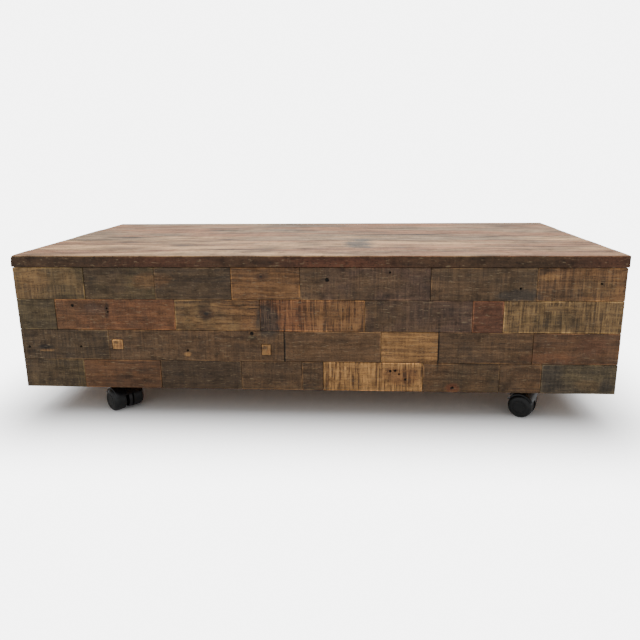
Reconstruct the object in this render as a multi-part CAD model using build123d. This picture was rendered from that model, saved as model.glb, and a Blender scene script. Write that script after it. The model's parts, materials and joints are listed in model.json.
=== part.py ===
from build123d import *
from math import atan2, degrees, hypot
import os

# A low rolling storage chest: a board carcass clad in courses of reclaimed wood blocks, with a plank lid.
# The lid turns on three butt hinges along the back wall, and two folding stays guide it. The chest stands on
# four twin-wheel swivel casters. The origin is on the floor under the middle of the chest. +X runs along its
# length, +Y towards the hinges and +Z up. All sizes are in millimetres.

# Lid
chest_length = 1520.0
chest_depth = 725.0  # from the lid's front edge to the back of the hinge barrels
lid_thickness = 29.0
lid_overhang = 2.0  # past the blocks, at the front and both ends
front_plank_widths = [93.0, 174.0, 88.0]  # from the front
back_plank_width = 172.0  # one more plank fills what is left before it
planks_short_left = [0.0, 2.0, 3.0, 0.5, 5.0]
planks_short_right = [0.0, 1.0, 2.5, 2.0, 0.5]
plank_gap = 1.0
batten_width = 60.0
batten_thickness = 24.0
batten_inset = 280.0  # from the lid's ends to the middle of an outer batten
batten_clearance = 14.0  # from a batten's ends to the walls

# Cladding
course_heights = [82.5, 81.0, 81.0, 77.0]  # from the top
lid_seam = 0.5  # between the top course's line and the lid
block_thickness = 22.0
block_gap = 1.0
shortest_block = 45.0
front_lengths = [
    [183.0, 182.0, 194.0, 173.0, 321.0, 254.0, 205.0],
    [100.0, 312.0, 218.0, 263.0, 264.0, 75.0, 280.0],
    [234.0, 455.0, 245.0, 143.0, 231.0, 204.0],
    [161.0, 204.0, 212.0, 156.0, 55.0, 252.0, 191.0, 103.0, 178.0],
]
end_lengths = [
    [205.0, 261.0, 202.0],
    [148.0, 190.0, 330.0],
    [262.0, 143.0, 263.0],
    [191.0, 252.0, 225.0],
]
set_backs = [0.0, 1.4, 0.6, 1.8, 1.0]  # how far the blocks' faces stand back, in turn

# Carcass
sill_recess = 4.0  # of the sills' undersides above the bottom course's lower edge
wall_thickness = 18.0
bottom_thickness = 18.0
sill_thickness = 25.0
post_width = 25.0
post_clearance = 12.0  # from a corner post's top to the lid

# Hinges
hinge_length = 76.0
hinge_inset = 200.0  # from the lid's ends to the middle of an outer hinge
leaf_thickness = 1.8
leaf_gap = 0.2  # from each leaf to the seam that the hinge line lies in
leaf_margin = 2.5  # from the leaves' inner edges to the wall's inner face
barrel_radius = 4.2
barrel_gap = 0.6  # from the barrel to the back of the chest
barrel_relief = 0.5  # around the other leaf's knuckles
knuckle_count = 5
knuckle_gap = 0.2
hinge_pin_radius = 2.0
running_clearance = 0.05

# Lid stays: each has two arms that make a parallelogram with the hinge line
stay_reach = 205.0  # from the hinge line forwards to the lid pivot
stay_drop = 22.0  # from the hinge line down to the lid pivot
stay_set_in = 100.0  # from the hinge line forwards to the wall pivot
stay_depth = 215.0  # from the hinge line down to the wall pivot
arm_width = 18.0
arm_thickness = 3.0
arm_gap = 0.5
stay_pin_radius = 4.0
stay_pin_head_radius = 6.5
stay_pin_head_height = 1.5
elbow_clearance = 0.3
bracket_thickness = 3.0
bracket_width = 26.0
bracket_length = 60.0
bracket_screw_spacing = 40.0

# Casters
caster_inset = 228.0  # from the lid's ends to the swivel axes
plate_margin = 11.5  # of sill around a caster plate
plate_size = 60.0
plate_thickness = 3.0
plate_corner = 6.0
plate_hole_spacing = 45.0
plate_hole_radius = 2.6
kingpin_radius = 5.0
kingpin_head_radius = 7.5
kingpin_head_height = 3.0
kingpin_pocket_clearance = 1.5
caster_trail = 20.0
wheel_radius = 30.5
wheel_width = 32.0
wheel_gap = 21.0  # between the two wheels of one caster
tread_round = 11.0
inner_round = 2.5
hub_radius = 15.0
hub_groove_width = 1.5
hub_groove_depth = 1.2
axle_radius = 3.0
axle_cover = 5.0  # of wheel outside each end of the axle
axle_end_play = 0.4
collar_radius = 9.0  # of each wheel, towards the web
hood_clearance = 1.2
hood_thickness = 3.0
hood_lip = 15.0  # from the axle up to the hood's lower edge
hood_set_in = 5.0  # of the hood's open sides from the wheels' outer faces
hood_headroom = 11.8  # from the hood to the caster plate
web_thickness = 9.0
web_clearance = 0.5  # from the web to each wheel's collar
web_lift = 10.0  # of the web between the wheels above the floor
boss_radius = 13.0
boss_gap = 0.5  # from the boss to the caster plate
boss_foot = 7.0  # from the axle up to the boss's lower end
caster_headings = {"front_left": -40.0, "front_right": -27.0, "back_left": -52.0, "back_right": -33.0}

# Screws
caster_screw = {"radius": 2.4, "length": 18.0, "head_radius": 4.2, "head_height": 2.4}
fixing_screw = {"radius": 1.8, "length": 15.0, "head_radius": 3.2, "head_height": 1.0}
batten_screw = {"radius": 2.2, "length": 38.0, "head_radius": 4.2, "head_height": 2.4}
pilot_clearance = 0.05
head_clearance = 0.1
leaf_screw_margin = 12.0  # from a leaf's ends to its outer screws
leaf_screw_stagger = 12.0  # between the body leaf's row and the lid leaf's row
batten_screw_spacing = 30.0

# Heights
hood_top = 2 * wheel_radius + hood_clearance + hood_thickness
plate_z = hood_top + hood_headroom
sill_z = plate_z + plate_thickness
floor_gap = sill_z - sill_recess
bottom_z = sill_z + sill_thickness
storage_floor = bottom_z + bottom_thickness
cladding_top = floor_gap + sum(course_heights)
rim_z = cladding_top + lid_seam
lid_top = rim_z + lid_thickness

# Plan
sill_width = plate_size + 2 * plate_margin
lid_end = chest_length / 2
lid_front = -chest_depth / 2
hinge_y = chest_depth / 2 - barrel_radius
back_face = hinge_y - barrel_radius - barrel_gap
front_face = lid_front + lid_overhang
end_face = lid_end - lid_overhang
carcass_front = front_face + block_thickness
carcass_back = back_face - block_thickness
carcass_end = end_face - block_thickness
storage_front = carcass_front + wall_thickness
storage_back = carcass_back - wall_thickness
storage_end = carcass_end - wall_thickness
hinge_places = {"left": hinge_inset - lid_end, "middle": 0.0, "right": lid_end - hinge_inset}
batten_places = {"left": batten_inset - lid_end, "middle": 0.0, "right": lid_end - batten_inset}
caster_x = lid_end - caster_inset
caster_front_y = carcass_front + plate_margin + plate_size / 2
caster_back_y = carcass_back - plate_margin - plate_size / 2
caster_places = {
    "front_left": (-caster_x, caster_front_y),
    "front_right": (caster_x, caster_front_y),
    "back_left": (-caster_x, caster_back_y),
    "back_right": (caster_x, caster_back_y),
}
lid_pivot = (hinge_y - stay_reach, rim_z - stay_drop)
wall_pivot = (hinge_y - stay_set_in, rim_z - stay_depth)
elbow = (lid_pivot[0] + wall_pivot[0] - hinge_y, lid_pivot[1] + wall_pivot[1] - rim_z)
lower_arm_x = storage_end - bracket_thickness - arm_gap - arm_thickness
upper_arm_x = lower_arm_x - arm_gap - arm_thickness
lid_web_x = upper_arm_x - arm_gap - bracket_thickness


def board(x0, x1, y0, y1, z0, z1):
    """A square-edged piece between two corners."""
    return Pos((x0 + x1) / 2, (y0 + y1) / 2, (z0 + z1) / 2) * Box(x1 - x0, y1 - y0, z1 - z0)


def rod(radius, start, direction, length):
    """A round bar from a point along a direction."""
    base = Plane(origin=start, z_dir=direction)
    return base * Cylinder(radius, length, align=(Align.CENTER, Align.CENTER, Align.MIN))


def behind(place, direction, distance):
    """The point that lies a distance behind a place."""
    return tuple(p - d * distance for p, d in zip(place, direction))


def screw(size, place, direction):
    """A screw whose head bears at a place. Its shank runs along a direction."""
    shank = rod(size["radius"], place, direction, size["length"])
    head_end = behind(place, direction, size["head_height"])
    return shank + rod(size["head_radius"], head_end, direction, size["head_height"])


def pilot(size, place, direction):
    """The hole that a screw's shank fills."""
    return rod(size["radius"] + pilot_clearance, place, direction, size["length"])


def head_pocket(size, place, direction):
    """The shallow pocket that holds a flush screw's head."""
    start = behind(place, direction, size["head_height"])
    return rod(size["head_radius"] + head_clearance, start, direction, size["head_height"])


def boxes_meet(a, b):
    """Whether two bounding boxes overlap."""
    along_x = a.min.X < b.max.X and b.min.X < a.max.X
    along_y = a.min.Y < b.max.Y and b.min.Y < a.max.Y
    along_z = a.min.Z < b.max.Z and b.min.Z < a.max.Z
    return along_x and along_y and along_z


def cut(body, tools):
    """The body with each tool that reaches it taken out."""
    box = body.bounding_box()
    near = [tool for tool in tools if boxes_meet(box, tool.bounding_box())]
    return body - near if near else body


def group(shapes):
    """Separate solids in one node."""
    return Compound([solid for shape in shapes for solid in shape.solids()])


def fill(total, lengths):
    """Spans that fill a run with stock lengths in turn. A last span too short joins the one before."""
    spans = []
    start = 0.0
    turn = 0
    while start < total:
        end = start + lengths[turn % len(lengths)]
        if total - end < shortest_block:
            end = total
        spans.append((start, end))
        start = end
        turn += 1
    return spans


# Lid: planks side by side, screwed to battens from below


def plank_edges():
    """The front and back edges of each plank."""
    edges = []
    front = lid_front
    for width in front_plank_widths:
        edges.append((front, front + width))
        front += width + plank_gap
    last_front = back_face - back_plank_width
    return edges + [(front, last_front - plank_gap), (last_front, back_face)]


def batten_span():
    return storage_front + batten_clearance, storage_back - batten_clearance


def batten_screw_places():
    """One screw on each side of a batten's centre line, in the middle of each plank that it crosses."""
    places = []
    batten_front, batten_back = batten_span()
    for x in batten_places.values():
        for front, back in plank_edges():
            y = (max(front, batten_front) + min(back, batten_back)) / 2
            for side in (-1, 1):
                places.append((x + side * batten_screw_spacing / 2, y, rim_z - batten_thickness))
    return places


def lid_planks():
    pockets = [leaf_mortise(x, rim_z, rim_z + leaf_gap + leaf_thickness) for x in hinge_places.values()]
    pilots = [pilot(batten_screw, place, (0, 0, 1)) for place in batten_screw_places()]
    pilots += [pilot(fixing_screw, place, (0, 0, 1)) for place in lid_leaf_screw_places()]
    pilots += [pilot(fixing_screw, place, (0, 0, 1)) for place in lid_bracket_screw_places()]
    planks = {}
    for number, (front, back) in enumerate(plank_edges()):
        left = -lid_end + planks_short_left[number]
        right = lid_end - planks_short_right[number]
        plank = board(left, right, front, back, rim_z, lid_top)
        planks[f"lid_plank_{number + 1}"] = cut(plank, pockets + pilots)
    return planks


def lid_battens():
    front, back = batten_span()
    pilots = [pilot(batten_screw, place, (0, 0, 1)) for place in batten_screw_places()]
    battens = {}
    for side, x in batten_places.items():
        left = x - batten_width / 2
        batten = board(left, left + batten_width, front, back, rim_z - batten_thickness, rim_z)
        battens[f"lid_batten_{side}"] = cut(batten, pilots)
    return battens


def batten_screws():
    return group([screw(batten_screw, place, (0, 0, 1)) for place in batten_screw_places()])


# Cladding: wood blocks glued to the carcass in level courses


def course_levels():
    """The lower and upper edges of each course's blocks, from the top course down."""
    levels = []
    top = cladding_top
    for height in course_heights:
        levels.append((top - height, top - block_gap))
        top -= height
    return levels


def course_blocks(total, lengths, first_set_back):
    """Each block's span along its course, and how far its face stands back."""
    blocks = []
    for number, (start, end) in enumerate(fill(total, lengths)):
        gap = block_gap if end < total else 0.0
        blocks.append((start, end - gap, set_backs[(first_set_back + number) % len(set_backs)]))
    return blocks


def front_course(number):
    bottom, top = course_levels()[number]
    blocks = course_blocks(2 * end_face, front_lengths[number], 2 * number)
    return group([
        board(start - end_face, end - end_face, front_face + set_back, carcass_front, bottom, top)
        for start, end, set_back in blocks
    ])


def back_course(number):
    """The back repeats the front's stock lengths two courses on, laid from the other end."""
    bottom, top = course_levels()[number]
    lengths = front_lengths[(number + 2) % len(front_lengths)]
    blocks = course_blocks(2 * end_face, lengths, 2 * number + 1)
    return group([
        cut(
            board(end_face - end, end_face - start, carcass_back, back_face - set_back, bottom, top),
            body_leaf_mortises(),
        )
        for start, end, set_back in blocks
    ])


def end_blocks(side):
    """The ends' blocks butt between the front's and the back's."""
    shapes = []
    for number, (bottom, top) in enumerate(course_levels()):
        lengths = end_lengths[number] if side > 0 else end_lengths[number][::-1]
        for start, end, set_back in course_blocks(carcass_back - carcass_front, lengths, number + side):
            inner = side * carcass_end
            outer = side * (end_face - set_back)
            y0 = carcass_front + start
            y1 = carcass_front + end
            shapes.append(board(min(inner, outer), max(inner, outer), y0, y1, bottom, top))
    return group(shapes)


# Carcass: two sills, a bottom panel on them, four walls on the bottom, and posts in the corners


def sill(front):
    """A timber along one long side, which carries two casters."""
    plank = board(-carcass_end, carcass_end, front, front + sill_width, sill_z, bottom_z)
    pilots = [pilot(caster_screw, place, (0, 0, 1)) for place in caster_screw_places()]
    pockets = [kingpin_pocket(x, y) for x, y in caster_places.values()]
    return cut(plank, pilots + pockets)


def kingpin_pocket(x, y):
    """Room above a caster plate for the riveted head of the kingpin."""
    depth = kingpin_head_height + boss_gap + kingpin_pocket_clearance
    return rod(kingpin_head_radius + kingpin_pocket_clearance, (x, y, sill_z), (0, 0, 1), depth)


def bottom_panel():
    return board(-carcass_end, carcass_end, carcass_front, carcass_back, bottom_z, storage_floor)


def front_wall():
    return board(-carcass_end, carcass_end, carcass_front, storage_front, storage_floor, rim_z)


def back_wall():
    wall = board(-carcass_end, carcass_end, storage_back, carcass_back, storage_floor, rim_z)
    pilots = [pilot(fixing_screw, place, (0, 0, -1)) for place in body_leaf_screw_places()]
    return cut(wall, body_leaf_mortises() + pilots)


def end_wall(side):
    inner, outer = sorted((side * storage_end, side * carcass_end))
    wall = board(inner, outer, storage_front, storage_back, storage_floor, rim_z)
    return cut(wall, [pilot(fixing_screw, place, (side, 0, 0)) for place in wall_bracket_screw_places(side)])


def corner_posts():
    """Square posts that hold the walls together inside the corners."""
    posts = []
    for side in (-1, 1):
        inner, outer = sorted((side * (storage_end - post_width), side * storage_end))
        for front in (storage_front, storage_back - post_width):
            back = front + post_width
            posts.append(board(inner, outer, front, back, storage_floor, rim_z - post_clearance))
    return group(posts)


# Hinges: butt hinges whose leaves lie in the rim of the back wall and the underside of the lid


def leaf_mortise(x, bottom, top):
    """The shallow pocket that a leaf lies in."""
    half = hinge_length / 2 + knuckle_gap
    return board(x - half, x + half, storage_back + leaf_margin, back_face, bottom, top)


def body_leaf_mortises():
    """The body leaves lie in the back wall's rim and in the tops of the blocks behind it."""
    bottom = rim_z - leaf_gap - leaf_thickness
    return [leaf_mortise(x, bottom, rim_z) for x in hinge_places.values()]


def knuckle_spans(x, first):
    """Every second knuckle along a hinge, from the first."""
    pitch = hinge_length / knuckle_count
    left = x - hinge_length / 2
    return [
        (left + turn * pitch + knuckle_gap / 2, left + (turn + 1) * pitch - knuckle_gap / 2)
        for turn in range(first, knuckle_count, 2)
    ]


def leaf(x, bottom, first, screw_places, direction):
    """A leaf with its knuckles. It is cut back around the other leaf's knuckles."""
    left = x - hinge_length / 2
    right = x + hinge_length / 2
    plate = board(left, right, storage_back + leaf_margin, hinge_y, bottom, bottom + leaf_thickness)
    relief = barrel_radius + barrel_relief
    shape = plate - [
        rod(relief, (start - knuckle_gap, hinge_y, rim_z), (1, 0, 0), end - start + 2 * knuckle_gap)
        for start, end in knuckle_spans(x, 1 - first)
    ]
    for start, end in knuckle_spans(x, first):
        shape += rod(barrel_radius, (start, hinge_y, rim_z), (1, 0, 0), end - start)
    bore = rod(hinge_pin_radius + running_clearance, (left, hinge_y, rim_z), (1, 0, 0), hinge_length)
    holes = [pilot(fixing_screw, place, direction) for place in screw_places]
    pockets = [head_pocket(fixing_screw, place, direction) for place in screw_places]
    return cut(shape, [bore] + holes + pockets)


def body_leaf(x):
    return leaf(x, rim_z - leaf_gap - leaf_thickness, 0, body_leaf_screw_places(), (0, 0, -1))


def lid_leaf(x):
    return leaf(x, rim_z + leaf_gap, 1, lid_leaf_screw_places(), (0, 0, 1))


def leaf_screw_row(y, z):
    """Three screws along each hinge."""
    reach = hinge_length / 2 - leaf_screw_margin
    return [(x + offset, y, z) for x in hinge_places.values() for offset in (-reach, 0, reach)]


def body_leaf_screw_places():
    y = (storage_back + carcass_back) / 2
    return leaf_screw_row(y, rim_z - leaf_gap - fixing_screw["head_height"])


def lid_leaf_screw_places():
    y = (storage_back + carcass_back) / 2 + leaf_screw_stagger
    return leaf_screw_row(y, rim_z + leaf_gap + fixing_screw["head_height"])


def hinge_pins():
    return group([
        rod(hinge_pin_radius, (x - hinge_length / 2, hinge_y, rim_z), (1, 0, 0), hinge_length)
        for x in hinge_places.values()
    ])


# Lid stays: a lower arm on the wall and an upper arm on the lid, riveted together at the elbow


def bar(x, start, end, holes):
    """A flat arm with round ends. Each hole is a place and a radius."""
    run_y = end[0] - start[0]
    run_z = end[1] - start[1]
    middle = Pos(x + arm_thickness / 2, (start[0] + end[0]) / 2, (start[1] + end[1]) / 2)
    turn = Rot(degrees(atan2(run_z, run_y)), 0, 0)
    shape = middle * turn * Box(arm_thickness, hypot(run_y, run_z), arm_width)
    for y, z in (start, end):
        shape += rod(arm_width / 2, (x, y, z), (1, 0, 0), arm_thickness)
    return shape - [rod(radius, (x, y, z), (1, 0, 0), arm_thickness) for (y, z), radius in holes]


def rivet(x, place, direction):
    """A stud that carries one arm, with a head beyond it."""
    y, z = place
    length = arm_gap + arm_thickness + arm_gap
    head_x = x + direction * length
    shank = rod(stay_pin_radius, (x, y, z), (direction, 0, 0), length)
    return shank + rod(stay_pin_head_radius, (head_x, y, z), (direction, 0, 0), stay_pin_head_height)


def on_side(side, shape):
    """A piece of the right-hand stay, or its mirror image on the left."""
    return shape if side > 0 else mirror(shape, about=Plane.YZ)


def lower_arm(side):
    arm = bar(lower_arm_x, wall_pivot, elbow, [(wall_pivot, stay_pin_radius + running_clearance)])
    return on_side(side, arm + rivet(lower_arm_x, elbow, -1))


def upper_arm(side):
    holes = [(elbow, stay_pin_radius + elbow_clearance), (lid_pivot, stay_pin_radius + running_clearance)]
    return on_side(side, bar(upper_arm_x, elbow, lid_pivot, holes))


def wall_bracket_screw_places(side):
    x = side * (storage_end - bracket_thickness + fixing_screw["head_height"])
    return [(x, wall_pivot[0], wall_pivot[1] + offset * bracket_screw_spacing / 2) for offset in (-1, 1)]


def lid_bracket_screw_places():
    flange_middle = lid_web_x - (bracket_width - bracket_thickness) / 2
    z = rim_z - bracket_thickness + fixing_screw["head_height"]
    return [
        (side * flange_middle, lid_pivot[0] + offset * bracket_screw_spacing / 2, z)
        for side in (-1, 1)
        for offset in (-1, 1)
    ]


def screw_holes(places, direction):
    """The holes and head pockets of flush screws."""
    holes = [pilot(fixing_screw, place, direction) for place in places]
    return holes + [head_pocket(fixing_screw, place, direction) for place in places]


def wall_bracket():
    """A plate on the right-hand end wall, with the stud that the lower arm turns on."""
    y, z = wall_pivot
    face = storage_end - bracket_thickness
    half_width, half_length = bracket_width / 2, bracket_length / 2
    plate = board(face, storage_end, y - half_width, y + half_width, z - half_length, z + half_length)
    return cut(plate, screw_holes(wall_bracket_screw_places(1), (1, 0, 0))) + rivet(face, wall_pivot, -1)


def lid_bracket():
    """An angle under the lid's right-hand end, with the stud that the upper arm turns on."""
    y, z = lid_pivot
    outer = lid_web_x + bracket_thickness
    inner = outer - bracket_width
    half_width, half_length = bracket_width / 2, bracket_length / 2
    flange = board(inner, outer, y - half_length, y + half_length, rim_z - bracket_thickness, rim_z)
    web = board(lid_web_x, outer, y - half_width, y + half_width, z - half_width, rim_z)
    angle = cut(flange + web, screw_holes(lid_bracket_screw_places(), (0, 0, 1)))
    return angle + rivet(outer, lid_pivot, 1)


# Casters: each has a plate under a sill, a hood that swivels on a kingpin, and two wheels on one axle. They
# are modelled with the kingpin's axis at the origin and the wheels trailing along +X.


def caster_plate():
    blank = Pos(0, 0, plate_z + plate_thickness / 2) * Box(plate_size, plate_size, plate_thickness)
    blank = fillet(blank.edges().filter_by(Axis.Z), plate_corner)
    bore = rod(kingpin_radius + running_clearance, (0, 0, plate_z), (0, 0, 1), plate_thickness)
    holes = [rod(plate_hole_radius, (x, y, plate_z), (0, 0, 1), plate_thickness) for x, y in plate_holes()]
    return blank - [bore] - holes


def plate_holes():
    half = plate_hole_spacing / 2
    return [(x, y) for x in (-half, half) for y in (-half, half)]


def across(radius, low, high):
    """A round bar on the axle's line, between two distances along it."""
    return rod(radius, (caster_trail, low, wheel_radius), (0, 1, 0), high - low)


def rounded_across(radius, half, rounding):
    """A round bar on the axle's line with rounded ends, like the two wheels together."""
    bar = across(radius, -half, half)
    return fillet(bar.edges().filter_by(GeomType.CIRCLE), rounding)


def hood():
    """A shell over the wheels' treads and a web between them, which carry a boss and a riveted kingpin."""
    wheels_half = wheel_gap / 2 + wheel_width
    hood_half = wheels_half - hood_set_in
    inner_radius = wheel_radius + hood_clearance
    outer_radius = inner_radius + hood_thickness
    inside = rounded_across(inner_radius, wheels_half + hood_clearance, tread_round + hood_clearance)
    growth = hood_clearance + hood_thickness
    outside = rounded_across(outer_radius, wheels_half + growth, tread_round + growth)
    reach = 2 * outer_radius
    above_lip = board(-reach, 2 * reach, -hood_half, hood_half, wheel_radius + hood_lip, wheel_radius + reach)
    above_ground = board(-reach, 2 * reach, -reach, reach, web_lift, wheel_radius + reach)
    shell = (outside & above_lip) - inside
    web = across(inner_radius + hood_thickness / 2, -web_thickness / 2, web_thickness / 2) & above_ground
    boss_z = wheel_radius + boss_foot
    boss = rod(boss_radius, (0, 0, boss_z), (0, 0, 1), plate_z - boss_gap - boss_z)
    body = shell + web + (boss - inside)
    body = body - across(axle_radius + pilot_clearance, -web_thickness / 2, web_thickness / 2)
    pin = rod(kingpin_radius, (0, 0, plate_z - boss_gap), (0, 0, 1), plate_thickness + 2 * boss_gap)
    pin_head = rod(kingpin_head_radius, (0, 0, sill_z + boss_gap), (0, 0, 1), kingpin_head_height)
    return body + pin + pin_head


def axle():
    half = wheel_gap / 2 + wheel_width - axle_cover
    return across(axle_radius, -half, half)


def wheel(side):
    """A wheel with a collar towards the web, a blind bore for the axle, a rounded tread and a grooved hub."""
    blank = Cylinder(wheel_radius, wheel_width, align=(Align.CENTER, Align.CENTER, Align.MIN))
    blank = fillet(blank.edges().sort_by(Axis.Z)[-1], tread_round)
    blank = fillet(blank.edges().filter_by(GeomType.CIRCLE).sort_by(Axis.Z)[0], inner_round)
    collar_length = (wheel_gap - web_thickness) / 2 - web_clearance
    collar = rod(collar_radius, (0, 0, -collar_length), (0, 0, 1), collar_length)
    bore_length = collar_length + wheel_width - axle_cover + axle_end_play
    bore = rod(axle_radius + running_clearance, (0, 0, -collar_length), (0, 0, 1), bore_length)
    groove_start = (0, 0, wheel_width - hub_groove_depth)
    groove = rod(hub_radius + hub_groove_width, groove_start, (0, 0, 1), hub_groove_depth)
    groove = groove - rod(hub_radius, groove_start, (0, 0, 1), hub_groove_depth)
    turned = Rot(-90 * side, 0, 0) * (blank + collar - bore - groove)
    return Pos(caster_trail, side * wheel_gap / 2, wheel_radius) * turned


def caster_screw_places():
    return [(x + dx, y + dy, plate_z) for x, y in caster_places.values() for dx, dy in plate_holes()]


def casters():
    pieces = {}
    for place, (x, y) in caster_places.items():
        stand = Pos(x, y, 0) * Rot(0, 0, caster_headings[place])
        pieces[f"caster_{place}_hood"] = stand * hood()
        pieces[f"caster_{place}_axle"] = stand * axle()
        pieces[f"caster_{place}_wheel_left"] = stand * wheel(1)
        pieces[f"caster_{place}_wheel_right"] = stand * wheel(-1)
    return pieces


def chest():
    """Every piece of the chest, by its node's name."""
    pieces = {**lid_planks(), **lid_battens()}
    pieces["batten_screws"] = batten_screws()
    for number in range(len(course_heights)):
        pieces[f"front_course_{number + 1}"] = front_course(number)
        pieces[f"back_course_{number + 1}"] = back_course(number)
    pieces["left_end_blocks"] = end_blocks(-1)
    pieces["right_end_blocks"] = end_blocks(1)
    pieces["front_sill"] = sill(carcass_front)
    pieces["back_sill"] = sill(carcass_back - sill_width)
    pieces["bottom_panel"] = bottom_panel()
    pieces["front_wall"] = front_wall()
    pieces["back_wall"] = back_wall()
    pieces["left_wall"] = end_wall(-1)
    pieces["right_wall"] = end_wall(1)
    pieces["corner_posts"] = corner_posts()
    for side, x in hinge_places.items():
        pieces[f"hinge_{side}_body_leaf"] = body_leaf(x)
        pieces[f"hinge_{side}_lid_leaf"] = lid_leaf(x)
    pieces["hinge_pins"] = hinge_pins()
    for side, sign in (("left", -1), ("right", 1)):
        pieces[f"stay_{side}_lower_arm"] = lower_arm(sign)
        pieces[f"stay_{side}_upper_arm"] = upper_arm(sign)
    pieces["stay_wall_brackets"] = group([on_side(-1, wall_bracket()), wall_bracket()])
    pieces["stay_lid_brackets"] = group([on_side(-1, lid_bracket()), lid_bracket()])
    body_screws = [screw(fixing_screw, place, (0, 0, -1)) for place in body_leaf_screw_places()]
    for side in (-1, 1):
        body_screws += [screw(fixing_screw, place, (side, 0, 0)) for place in wall_bracket_screw_places(side)]
    pieces["body_fixing_screws"] = group(body_screws)
    lid_places = lid_leaf_screw_places() + lid_bracket_screw_places()
    pieces["lid_fixing_screws"] = group([screw(fixing_screw, place, (0, 0, 1)) for place in lid_places])
    pieces["caster_plates"] = group([Pos(x, y, 0) * caster_plate() for x, y in caster_places.values()])
    caster_screws = [screw(caster_screw, place, (0, 0, 1)) for place in caster_screw_places()]
    pieces["caster_screws"] = group(caster_screws)
    pieces.update(casters())
    return pieces


os.makedirs("parts", exist_ok=True)
for name, shape in chest().items():
    solids = shape.solids()
    export_step(solids[0] if len(solids) == 1 else Compound(solids), f"parts/{name}.step")
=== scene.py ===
import json
import math

import bpy
import numpy as np
from mathutils import Matrix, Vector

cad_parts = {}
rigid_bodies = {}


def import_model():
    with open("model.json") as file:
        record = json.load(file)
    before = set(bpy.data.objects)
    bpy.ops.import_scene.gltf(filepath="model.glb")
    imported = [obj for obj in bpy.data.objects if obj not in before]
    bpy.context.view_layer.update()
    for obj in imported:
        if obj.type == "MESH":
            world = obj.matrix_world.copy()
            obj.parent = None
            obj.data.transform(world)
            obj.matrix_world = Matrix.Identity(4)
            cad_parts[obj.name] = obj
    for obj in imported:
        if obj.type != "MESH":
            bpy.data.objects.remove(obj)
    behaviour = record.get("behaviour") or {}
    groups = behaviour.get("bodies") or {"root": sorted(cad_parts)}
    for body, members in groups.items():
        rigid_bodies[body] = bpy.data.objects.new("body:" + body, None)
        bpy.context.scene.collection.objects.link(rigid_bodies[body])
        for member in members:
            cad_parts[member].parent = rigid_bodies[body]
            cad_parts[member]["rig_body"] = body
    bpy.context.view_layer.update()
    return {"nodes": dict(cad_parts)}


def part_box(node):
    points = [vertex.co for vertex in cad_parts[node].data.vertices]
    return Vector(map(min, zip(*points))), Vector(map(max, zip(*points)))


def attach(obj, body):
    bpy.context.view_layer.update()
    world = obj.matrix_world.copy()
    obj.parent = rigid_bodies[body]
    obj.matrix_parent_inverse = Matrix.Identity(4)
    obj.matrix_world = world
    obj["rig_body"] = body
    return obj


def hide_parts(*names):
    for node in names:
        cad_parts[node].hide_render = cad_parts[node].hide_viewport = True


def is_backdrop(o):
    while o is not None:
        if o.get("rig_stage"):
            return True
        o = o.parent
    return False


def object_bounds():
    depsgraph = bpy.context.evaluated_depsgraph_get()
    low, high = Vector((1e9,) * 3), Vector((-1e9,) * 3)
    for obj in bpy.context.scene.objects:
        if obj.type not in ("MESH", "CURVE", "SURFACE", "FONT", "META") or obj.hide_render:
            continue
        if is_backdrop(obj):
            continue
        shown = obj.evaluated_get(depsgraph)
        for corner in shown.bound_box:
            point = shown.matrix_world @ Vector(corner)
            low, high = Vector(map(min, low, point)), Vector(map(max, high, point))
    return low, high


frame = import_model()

MM = 0.001

# ------------------------------------------------------------------------------
# Carcass: plain softwood boards. Two sills carry a bottom panel, four walls stand on it, and square posts
# hold the walls' corners. Three battens hold the lid's planks together. All are planed and left bare, and
# show only when the lid is open or from below.
# ------------------------------------------------------------------------------


def node_tree(name, kind, inputs, outputs):
    """A node group with named sockets, and the nodes that hold its inputs and outputs."""
    tree = bpy.data.node_groups.new(name, kind)
    for in_out, sockets in (("INPUT", inputs), ("OUTPUT", outputs)):
        for label, socket_kind in sockets.items():
            tree.interface.new_socket(label, in_out=in_out, socket_type="NodeSocket" + socket_kind)
    return tree, tree.nodes.new("NodeGroupInput").outputs, tree.nodes.new("NodeGroupOutput").inputs


def feed(tree, socket, value):
    """Gives an input a plain value, or links it where the value is another node's output."""
    if isinstance(value, bpy.types.NodeSocket):
        tree.links.new(value, socket)
    else:
        socket.default_value = value


def put(tree, kind, inputs=None, **settings):
    """Adds a node. Each input is a plain value or the output socket that feeds it."""
    node = tree.nodes.new(kind)
    for name, value in settings.items():
        setattr(node, name, value)
    for name, value in (inputs or {}).items():
        feed(tree, node.inputs[name], value)
    return node


def calc(tree, operation, *values, clamp=False):
    """The result of a Math node."""
    inputs = dict(enumerate(values))
    return put(tree, "ShaderNodeMath", inputs, operation=operation, use_clamp=clamp).outputs[0]


def remap(tree, value, low, high, to_low=0.0, to_high=1.0):
    """A value's range, smoothly mapped to another."""
    inputs = {"Value": value, "From Min": low, "From Max": high, "To Min": to_low, "To Max": to_high}
    return put(tree, "ShaderNodeMapRange", inputs, interpolation_type="SMOOTHSTEP").outputs["Result"]


def mix(tree, factor, a, b, blend="MIX"):
    """Two colours mixed by a factor."""
    return put(tree, "ShaderNodeMix", {0: factor, 6: a, 7: b}, data_type="RGBA", blend_type=blend).outputs[2]


def object_place(tree):
    """Where each point is in its object, in metres."""
    return put(tree, "ShaderNodeTexCoord").outputs["Object"]


def stretched(tree, position, along, across, depth):
    """Coordinates divided by a pattern's size along the grain, across it and into the wood, in metres."""
    scale = (1 / along, 1 / across, 1 / depth)
    return put(tree, "ShaderNodeVectorMath", {0: position, 1: scale}, operation="MULTIPLY").outputs[0]


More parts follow.
